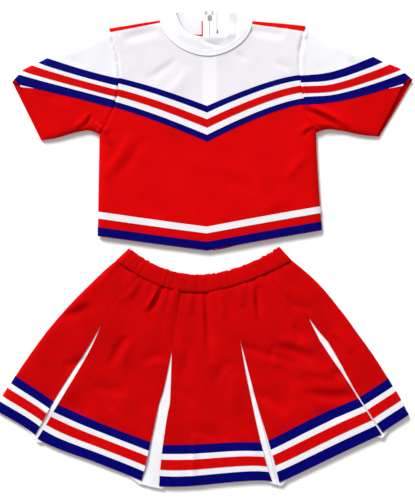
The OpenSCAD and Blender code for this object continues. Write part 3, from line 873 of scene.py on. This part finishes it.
def fabric(slot, name, colour, pitch, coordinates="Object", roughness=0.85, variation=0.06, relief=0.35):
    """Cloth with a knit or weave, fine fuzz and a cloudy colour, which may be a function that paints it."""
    material, tree, shader = node_material(name)
    axes = tree.nodes.new("ShaderNodeSeparateXYZ")
    fill(tree, axes, {0: add(tree, "TexCoord", output=coordinates)})
    across, lengthwise = (wave(tree, axes.outputs[i], pitch[i]) for i in (0, 1))
    thread = work_out(tree, "ADD", work_out(tree, "MULTIPLY", across, lengthwise), across)
    place = add(tree, "TexCoord", output="Object")
    cloud = add(tree, "TexNoise", {"Vector": place, "Scale": 22, "Detail": 4}, "Fac")
    grain = add(tree, "TexNoise", {"Vector": place, "Scale": 900, "Detail": 2}, "Fac")
    shade = add(tree, "MapRange", {
        "Value": work_out(tree, "ADD", cloud, grain), "From Min": 0.6, "From Max": 1.4,
        "To Min": 1 - variation, "To Max": 1 + variation})
    if callable(colour):
        base = colour(tree, place)
    else:
        base = add(tree, "RGB")
        base.default_value = (*colour, 1)
    bump = add(tree, "Bump", {"Height": thread, "Strength": relief, "Distance": 0.12 * MM})
    fuzz = add(tree, "Bump", {"Height": grain, "Strength": 0.25, "Distance": 0.15 * MM, "Normal": bump})
    painted = add(tree, "VectorMath", {0: base, "Scale": shade}, operation="SCALE")
    fill(tree, shader, {
        "Base Color": painted, "Normal": fuzz, "Roughness": roughness, "Specular IOR Level": 0.03})
    return Finish(material, slot)


def metal(name, colour):
    """Plated metal with fine scuffs."""
    material, tree, shader = node_material(name)
    place = add(tree, "TexCoord", output="Object")
    scuffs = add(tree, "TexNoise", {"Vector": place, "Scale": 1400, "Detail": 5}, "Fac")
    fill(tree, shader, {
        "Base Color": (*colour, 1), "Metallic": 1,
        "Roughness": add(tree, "MapRange", {"Value": scuffs, "To Min": 0.2, "To Max": 0.42}),
        "Normal": add(tree, "Bump", {"Height": scuffs, "Strength": 0.15, "Distance": 0.03 * MM})})
    return material


def painted_show_through(tree, place):
    """The yoke's white, painted greyer and pinker over the red back and painted brighter over the white zip
    tapes: painted shade and show-through that stand in for light passing through the thin knit.
    """
    from_zip = work_out(tree, "SUBTRACT", add(tree, "SeparateXYZ", {0: place}), TOP_X * MM)
    share = add(tree, "MapRange", {
        "Value": work_out(tree, "ABSOLUTE", from_zip), "From Min": 11 * MM, "From Max": 14.5 * MM})
    # A is the painted brighter white over the zip tapes, B the painted pinkish-grey shade where the red back
    # shows through
    colours = {"Factor": share, "A": (0.72, 0.71, 0.735, 1), "B": (0.67, 0.645, 0.675, 1)}
    return add(tree, "Mix", colours, "Result", data_type="RGBA")


# The skirt's red is the top's red knit painted darker, as painted shade for the skirt's wrinkles
RED, SHADED_SKIRT_RED, NAVY = (0.52, 0.0006, 0.001), (0.43, 0.0005, 0.001), (0.0005, 0.0005, 0.12)
WHITE, COLLAR_WHITE = (0.7, 0.7, 0.73), (0.74, 0.74, 0.77)
TAPE_WHITE, NYLON = (0.85, 0.85, 0.86), (0.8, 0.8, 0.78)
KNIT = (1.3, 1.6)
red_knit = fabric("red_knit", "red_double_knit", RED, KNIT, variation=0.13)
# The skirt's knit is a painted-shade copy of the red knit: darker, and with a wider cloudy variation that
# paints in the shade of its wrinkles
shaded_skirt_knit = fabric("red_knit", "red_knit_painted_shade", SHADED_SKIRT_RED, KNIT, variation=0.2)
# The yoke's white carries painted shade and painted show-through of the red back
yoke_knit = fabric("white_knit", "white_double_knit_painted_show_through", painted_show_through, KNIT, variation=0.03)
white_knit = fabric("white_knit", "white_double_knit", WHITE, KNIT, variation=0.03)
collar_knit = fabric("white_collar_knit", "white_collar_knit", COLLAR_WHITE, (1.2, 1.4), variation=0.03)
tape_weave = fabric("zip_tape", "white_zip_tape", TAPE_WHITE, (0.9, 0.6), "Object", 0.7, 0.03, 0.6)
elastic_knit = fabric("elastic", "white_ribbed_elastic", NYLON, (1.6, 5), relief=0.9)
coil_nylon = fabric("zip_coil", "white_nylon_coil", NYLON, (0.5, 0.5), roughness=0.35, relief=0.1)
nickel = metal("nickel_plate", (0.62, 0.62, 0.63))


# ---------- ribbons ----------

def ribbon(colour, paint, variation):
    return fabric(f"{colour}_ribbon", f"{colour}_woven_ribbon", paint, (1.1, 0.8), "UV", 0.55, variation, 0.5)


# A braid's ribbons from the widest to the narrowest: finish, and the heights of both faces above the cloth
RIBBONS = {
    "navy": (ribbon("navy", NAVY, 0.12), (0.55, 1)),
    "white": (ribbon("white", WHITE, 0.03), (1.1, 1.5)),
    "red": (ribbon("red", RED, 0.08), (1.6, 2)),
}
SIDES = {"left": -1, "right": 1}


def make_braid(piece, node, split, cut_strip, body=None, extra=()):
    """Three ribbons, each narrower than the one under it. extra holds more parts of a colour's piece."""
    made = []
    for i, (colour, (finish, lift)) in enumerate(RIBBONS.items()):
        parts = cut_strip(split[i], split[-1 - i], lift) + dict(extra).get(colour, [])
        made.append(build(f"{piece}_{colour}", parts, finish, f"{node}_{colour}", body))
    return made


# ---------- the top ----------

def lines_between(curve, low, high, span, side):
    """Neighbouring lines of a braid from its low to its high share, each cut to its own span."""
    lines = []
    for share in np.linspace(low, high, 3 + round(12 * (high - low))):
        height = curve(share)
        x = np.linspace(*span(height), 120)
        lines.append(on_top(np.column_stack([x, height(x)]), side))
    return lines


def reach(outline, x_min, x_max):
    """Gives a curve's first and last x inside an outline."""
    def span(height):
        x = np.linspace(x_min, x_max, 1500)
        hit = x[inside(np.column_stack([x, height(x)]), outline)]
        return hit[0], hit[-1]
    return span


def chest_strip(low, high, lift):
    """One ribbon of the chest braid: two lengths that meet in a mitre at the point."""
    parts = []
    span = reach(np.vstack([[(0, 0)], [(CHEST, 0)], ARMHOLE, [(0, 390)]]), 0.001, CHEST)
    for side in (-1, 1):
        parts += strip(top, lines_between(chest_line, low, high, span, side), "front", lift)
    return parts


def make_hem_ribbon(colour, layer, gap=0):
    """One ribbon along the top's hem, in two lengths that start at a gap from the centre line."""
    parts = []
    for side in (-1, 1):
        lines = [
            on_top([(x, half_hem(offset)(x)) for x in (gap, CHEST)], side)
            for offset in np.linspace(*HEM_TRIM[colour], 3)
        ]
        parts += strip(top, lines, layer, RIBBONS["navy"][1])
    finish = RIBBONS[colour][0]
    return build(f"hem_ribbon_{layer}_{colour}", parts, finish, f"hem_trim_{layer}_{colour}", "top")


def sleeve_strip(side, low, high, lift):
    """One ribbon of the sleeve braid, which goes round the top fold onto the back."""
    parts = []
    for layer, outline in WHOLE_SLEEVE.items():
        lines = lines_between(sleeve_line, low, high, reach(outline, 150, 365), side)
        parts += strip(top, lines, layer, lift, bends=True)
    return parts


def hem_sliver(side):
    """The white lining that shows in a wedge below the braid at a sleeve's hem."""
    x = np.linspace(CUFF_TOP[0] - 24, CUFF_TOP[0] - 1, 12)
    y = sleeve_line(0)(x)
    lines = [on_top(np.column_stack([x, y - drop * (x - x[0] + 3) / 26]), side) for drop in (3.4, 0)]
    return strip(top, lines, "front", (0.45, 0.9), sewn=False)


def make_front():
    yoke, body = both_halves(YOKE_HALF), both_halves(FRONT_HALF)
    yoke_cloth = build("yoke_cloth", [panel(top, yoke, "front")], yoke_knit, "front_yoke", "top")
    body_cloth = build("front_body_cloth", [panel(top, body, "front")], red_knit, "front_body_panel", "top")
    sewn_on = make_braid("chest_ribbon", "chest_braid", CHEST_SPLIT, chest_strip, "top")
    sewn_on += [make_hem_ribbon(colour, "front") for colour in HEM_TRIM]
    declare_cloth(yoke)
    declare_cloth(body)


def shoulder_roll(side):
    """The back goes over the shoulder fold to its seam with the yoke."""
    lap = ROLL_LAP[side]
    lines = [on_top([SEAM_IN - (0, lap / 2), SEAM_OUT - (0, lap)], side), on_top([ROLL_IN, ROLL_OUT], side)]
    return strip(top, lines, "front", (-CLOTH / 2, CLOTH / 2 + 0.15), sewn=False)


def placket(side):
    """The edge turned under beside the zip."""
    lines = [on_top([(x, HEM_POINT + 3), (x, COLLAR_SEAM - 14)], side) for x in (PLACKET_HALF, 20)]
    return strip(top, lines, "back", (-1.35, -CLOTH / 2 - 0.05), sewn=False)


def neck_tab(side):
    """The red seam allowance that shows beside the zip tape, inside the collar."""
    ends = COLLAR_SEAM - 12, COLLAR_SEAM + 14 - 8 * side
    lines = [on_top([(x, ends[0]), (x + 0.5, ends[1])], side) for x in (12.2, 14)]
    return strip(collar, lines, "back", (-2.6, -1.6), sewn=False)


def make_back():
    for name, side in SIDES.items():
        neck_y = BACK_NECK_Y[name]
        outline = on_top(np.vstack([BACK_HALF, [(40, neck_y)], [(PLACKET_HALF, neck_y)]]), side)
        parts = [panel(top, outline, "back", spacing=6)]
        parts += shoulder_roll(side) + placket(side) + neck_tab(side)
        cloth = build(f"back_cloth_{name}", parts, red_knit, f"back_panel_{name}", "top")
        declare_cloth(outline)
    for colour in HEM_TRIM:
        make_hem_ribbon(colour, "back", PLACKET_HALF)


def make_sleeve(name, side):
    """A sleeve's cap, front, back and braid, meshed closer beside the armhole where a folded sleeve would
    bend.
    """
    node = f"sleeve_{name}_"
    cap_outline = on_top(CAP_FRONT, side)
    lower = {layer: on_top(outline, side) for layer, outline in LOWER_SLEEVE.items()}
    cap_parts = [panel(top, cap_outline, layer, bends=True) for layer in lower]
    cap = build(node + "cap_cloth", cap_parts, white_knit, node + "cap")
    front, back = (
        build(f"{node}{layer}_cloth", [panel(top, outline, layer, bends=True)], red_knit, node + layer)
        for layer, outline in lower.items()
    )
    braid = make_braid(node + "ribbon", node + "braid", SLEEVE_SPLIT, lambda *args: sleeve_strip(side, *args),
                       extra={"white": hem_sliver(side)})
    bend = on_top([CHORD.mean(0), CHORD.mean(0) + OUTWARD * BEND], side)
    start, end = ((*p, BEND_Z * MM) for p in bend * MM)
    for piece in (cap, front, back, *braid):
        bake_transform(piece)
        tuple(start)
        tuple(end)
    declare_cloth(cap_outline, copies=2)
    declare_cloth(lower["front"])
    declare_cloth(lower["back"])


# ---------- collar and zip ----------

MOUTH_END = np.array([54.5, 421.5])
MOUTH = spline([
    (-54.5, 421.5), (-46, 399), (-37, 386.5), (-22, 380), (-3, 377.5), (9, 379.5), (22, 384.5), (34, 394),
    (39.5, 408), (43, 419), (54.5, 421.5),
], 6)
COLLAR_SIDE = arc(NECK_SIDE, MOUTH_END, 4, 6)
BACK_EDGE = spline([(6, 427), (24, 427.5), (42, 425.5), MOUTH_END])


def collar_rise(p):
    """The collar stands up from its seam towards its mouth."""
    seam = nearest(p, both_halves(NECK_SEAM[::-1]))[0]
    return 3.6 * smooth(seam / 34)


collar = Garment(
    folds=[on_top(COLLAR_SIDE, side) for side in (-1, 1)], open_edges=[on_top([(-400, 0), (400, 0)])],
    drift=Drift(TOP_LAY), creases=COLLAR_CREASES, depth=1.4, ridges=[collar_rise],
    front=11.9, back=2.2, middle=6.2, radius=14, droop=0, straight_x=TOP_X,
)


def make_collar_front():
    """The collar's front run, and the band along its seam."""
    seam = np.vstack([on_top(NECK_SEAM, -1), on_top(NECK_SEAM)[-2::-1]])
    side_right, side_left = (on_top(COLLAR_SIDE[1:-1], side) for side in (1, -1))
    front = np.vstack([seam, side_right, on_top(MOUTH)[::-1], side_left[::-1]])
    parts = [panel(collar, front, "front", -0.8, 0.6, spacing=3.5)]
    cloth = build("collar_front_cloth", parts, collar_knit, "collar_front", "top")
    declare_cloth(front)
    centre = np.array([TOP_X, NECK_SIDE[1] + 20])
    inner = seam + unit(centre - seam) * 9
    band = strip(collar, [seam[1:-1], inner[1:-1]], "front", (0.6, 1.5))
    build("neck_seam_band_cloth", band, collar_knit, "neck_seam_band", "top")


def make_collar_back(name, side):
    neck_y = BACK_NECK_Y[name] - 2
    seam_side = [(PLACKET_HALF, neck_y), (40, neck_y), (68, COLLAR_SEAM - 2)]
    outline = on_top(np.vstack([seam_side, COLLAR_SIDE, BACK_EDGE[-2::-1]]), side)
    parts = [panel(collar, outline, "back", -0.8, 0.8, spacing=4)]
    back = build(f"collar_back_cloth_{name}", parts, collar_knit, f"collar_back_{name}", "top")
    declare_cloth(outline)


def make_zip_tape(name, side):
    """A woven tape with a ridge along both edges and a row of stitches by the outer one."""
    bottom, top_z = TAPE_LOW[2], TAPE_HIGH[2]
    inner, outer = TAPE_LOW[0] - TOP_X, TAPE_HIGH[0] - TOP_X
    x = np.array([inner, inner + 0.8, inner + 1.6, inner + 5, inner + 9, outer - 1.2, outer - 0.6, outer])
    swell = np.array([0, 0.12, 0, 0, 0, 0, 0.1, 0])
    grid_x, grid_y = np.meshgrid(x, np.arange(TAPE_LOW[1], TAPE_HIGH[1] + 0.1, 4))
    points = np.stack([TOP_X + side * grid_x, grid_y, np.full_like(grid_x, (bottom + top_z) / 2) + swell], -1)
    points = points.reshape(-1, 3)
    faces = facing(points[:, :2], lattice_faces(*grid_x.shape), "front")
    half = (top_z - bottom) / 2
    tape = shell(points, faces, -half, half, np.stack([grid_x, grid_y], -1).reshape(-1, 2))
    seam = np.array([(TOP_X + side * (outer - 2.5), y, top_z) for y in grid_y[[0, -1], 0]])
    sewn = stitches(seam, np.array([(0, 0, 1), (0, 0, 1)]))
    build(f"zip_tape_{name}_woven", [tape, sewn], tape_weave, f"zip_tape_{name}", "top")


def make_zip_coil(pitch=1.4):
    """The coil's turns, which cross the middle from the left and the right by turns."""
    z = (COIL_LOW[2] + COIL_HIGH[2]) / 2
    reach_x = COIL_HIGH[0] - TOP_X
    starts, ends = [], []
    for k, y in enumerate(np.arange(COIL_LOW[1], COIL_HIGH[1], pitch / 2)):
        side = 1 if k % 2 else -1
        starts.append((TOP_X - side * 0.3, y, z - 0.1))
        ends.append((TOP_X + side * reach_x, y + 0.1, z + 0.1))
    build("zip_coil_teeth", [rods(starts, ends, 0.4)], coil_nylon, "zip_coil", "top")


# ---------- the skirt ----------

def panel_hem(which, side, offset):
    """The line at that distance above a panel's hem, cut at the panel's edges."""
    a, b = HEMS[which]
    start, end = (p + to_left(b - a) * offset for p in (a, b))
    line = start + np.linspace(-0.6, 1.6, 3000)[:, None] * (end - start)
    return line[inside(line, panel_outline(which, side))][[0, -1]]


def skirt_strips(low, high, lift):
    """One ribbon of the hem braid: a length on every panel, front and back."""
    parts = []
    offsets = np.linspace(low, high, 3)
    for layer in ("front", "back"):
        for which, sides in (("center", (1,)), ("front", (-1, 1)), ("side", (-1, 1))):
            for side in sides:
                lines = [on_skirt(panel_hem(which, side, offset), side) for offset in offsets]
                parts += strip(skirt, lines, layer, lift)
    return parts


def make_skirt_panels():
    braid = make_braid("skirt_ribbon", "skirt_braid", SKIRT_SPLIT, skirt_strips, "skirt")
    for layer, under in (("front", "skirt_cloth_back_center"), ("back", "table")):
        for name, which, side in (("center", "center", 1), ("left", "front", -1), ("right", "front", 1)):
            outline = on_skirt(panel_outline(which, side), side)
            cloth = build(f"skirt_cloth_{layer}_{name}", [panel(skirt, outline, layer)], shaded_skirt_knit,
                          f"skirt_panel_{layer}_{name}", "skirt")
            declare_cloth(outline)
    for name, side in SIDES.items():
        outline = on_skirt(panel_outline("side", side), side)
        parts = [panel(skirt, outline, layer) for layer in ("front", "back")]
        cloth = build(f"skirt_cloth_side_{name}", parts, shaded_skirt_knit, f"skirt_panel_side_{name}", "skirt")
        declare_cloth(outline, copies=2)


def make_insets():
    """White inlays, folded flat behind the panels' edges."""
    shapes = [(OUTER_INSET, -1), (INNER_INSET, -1), (INNER_INSET, 1), (OUTER_INSET, 1)]
    for layer in ("front", "back"):
        for number, (leaves, side) in enumerate(shapes, 1):
            inner, outer = (on_skirt(leaf, side) for leaf in leaves)
            parts = [panel(skirt, inner, layer, -1.7, -0.8), panel(skirt, outer, layer, -2.9, -2)]
            node = f"pleat_inset_{layer}_{number}"
            cloth = build(f"pleat_{layer}_{number}_cloth", parts, white_knit, node, "skirt")
            declare_cloth(np.vstack([inner[:3], outer[2:]]))


# Points round the skin of the waist's tube: share of its height, and share of the way from outside to inside
WAIST_SECTION = (
    (0, 0.5), (0.03, 0.1), *((v, 0) for v in (0.12, 0.24, 0.36, 0.5, 0.64, 0.76, 0.88)), (0.97, 0.1),
    (1, 0.5), (0.97, 0.9), (0.7, 1), (0.3, 1), (0.03, 0.9),
)
WAIST_MIDDLE = 6.2


def waist_tube(margin, outer_z, inner_z, gather):
    """A closed cross-section carried round the flattened belt, along its front and back along its back."""
    length = 2 * BAND_R * WAIST_ANGLE
    ends = np.array([0, *FOLD_ROWS])
    one_way = np.concatenate([ends, np.arange(12, length - 11, 3.2), length - ends[:0:-1]])
    rings, uvs = [], []
    for s, layer in [(s, 1) for s in one_way] + [(length - s, -1) for s in one_way]:
        angle = (s / length * 2 - 1) * (WAIST_ANGLE - margin / BAND_R)
        swell = float(round_edge(min(s, length - s) / 10))
        phase = s + (0 if layer > 0 else 500)
        ripple = gather * (bumps(phase / 5.5, 11, 0) + 0.6 * bumps(phase / 13, 11, 3))
        for i, (v, depth) in enumerate(WAIST_SECTION):
            r = mix(WAIST_R + margin, BAND_R - margin, v) + ripple * 1.76 * (1 - v) ** 2
            bulge = ripple * (0.5 + 0.8 * math.sin(math.pi * v)) + 0.5 * math.sin(math.pi * v)
            level = mix(outer_z, inner_z, depth) + bulge * (1 - depth)
            if layer < 0:
                level = 2 * WAIST_MIDDLE - level + 1.3
            rings.append((*ring(r, [angle])[0], WAIST_MIDDLE + (level - WAIST_MIDDLE) * swell))
            uvs.append((phase, i * 3))
    rings = np.array(rings)
    points = np.column_stack([skirt.laid(rings[:, :2], "front"), rings[:, 2]])
    k = np.arange(len(points)).reshape(-1, len(WAIST_SECTION))
    after, ahead = np.roll(k, -1, 1), np.roll(k, -1, 0)
    faces = np.stack([k, after, np.roll(after, -1, 0), ahead], -1).reshape(-1, 4)
    a, b, c = (points[faces[:, i]] for i in range(3))
    volume = (a * np.cross(b, c)).sum()
    return points, faces[:, ::-1] if volume < 0 else faces, np.array(uvs, float)


def hollow(points, faces, uv, thickness):
    """A closed skin with a second one inside it."""
    inner = points - point_normals(points, faces) * thickness
    both = np.vstack([faces, faces[:, ::-1] + len(points)])
    return np.vstack([points, inner]), both, np.vstack([uv, uv])


def make_waistband():
    casing = hollow(*waist_tube(0, 11.6, 8.2, 1.6), thickness=0.7)
    cloth = build("waistband_gathered", [casing], shaded_skirt_knit, "waistband_casing", "skirt")
    build("waist_elastic_ribbed", [waist_tube(3.5, 10.4, 9.3, 0.3)], elastic_knit, "waist_elastic", "skirt")


# ---------- CAD nodes that stay, with rounded edges and plated metal ----------

def keep_metal():
    rounded = ("zip_slider", "zip_pull_tab")
    for node in (*rounded, "zip_top_stops", "zip_bottom_stop", "collar_hook", "collar_eye"):
        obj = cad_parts[node]
        obj.data.materials.clear()
        obj.data.materials.append(nickel)
        if node in rounded:
            bevel = obj.modifiers.new("soft_edges", "BEVEL")
            bevel.width = 0.15 * MM
            bevel.segments = 2


# ---------- table, light and camera ----------

def make_stage():
    half = 20
    corners = [(-half, -half, 0), (half, -half, 0), (half, half, 0), (-half, half, 0)]
    mesh = bpy.data.meshes.new("table")
    mesh.from_pydata(corners, [], [(0, 1, 2, 3)])
    table = bpy.data.objects.new("table", mesh)
    material, tree, shader = node_material("pale_table")
    fill(tree, shader, {"Base Color": (0.93, 0.93, 0.93, 1), "Roughness": 0.9, "Specular IOR Level": 0.1})
    mesh.materials.append(material)
    bpy.context.scene.collection.objects.link(table)

    world = bpy.data.worlds.new("studio")
    bpy.context.scene.world = world
    world.use_nodes = True
    fill(world.node_tree, world.node_tree.nodes["Background"], {"Color": (1, 1, 1, 1), "Strength": 0.5})
    lamp = bpy.data.lights.new("softbox", "SUN")
    lamp.angle = math.radians(25)
    lamp.energy = 5.2
    lit = bpy.data.objects.new("softbox", lamp)
    from_upper_left = Vector((0.85, -1.6, -1.1))
    lit.rotation_euler = from_upper_left.to_track_quat("-Z", "Y").to_euler()
    bpy.context.scene.collection.objects.link(lit)


def make_camera():
    """Straight down on the table, a little off the object's middle. The frame is 900 mm on its long side."""
    height, view = 2.5, 0.9
    off_x, off_y = 0.0062, -0.0053
    camera = bpy.data.cameras.new("camera")
    camera.sensor_width = 36
    camera.lens = camera.sensor_width * height / view
    camera.clip_end = 30
    obj = bpy.data.objects.new("camera", camera)
    centre = (cad_box[0] + cad_box[1]) / 2
    obj.location = (centre.x + off_x, centre.y + off_y, height)
    bpy.context.scene.collection.objects.link(obj)
    bpy.context.scene.camera = obj
    bpy.context.scene.view_settings.view_transform = "Standard"


make_camera()
make_stage()
make_front()
make_back()
for hand in SIDES:
    make_sleeve(hand, SIDES[hand])
make_collar_front()
for hand in SIDES:
    make_collar_back(hand, SIDES[hand])
for hand in SIDES:
    make_zip_tape(hand, SIDES[hand])
make_zip_coil()
make_skirt_panels()
make_insets()
make_waistband()
keep_metal()
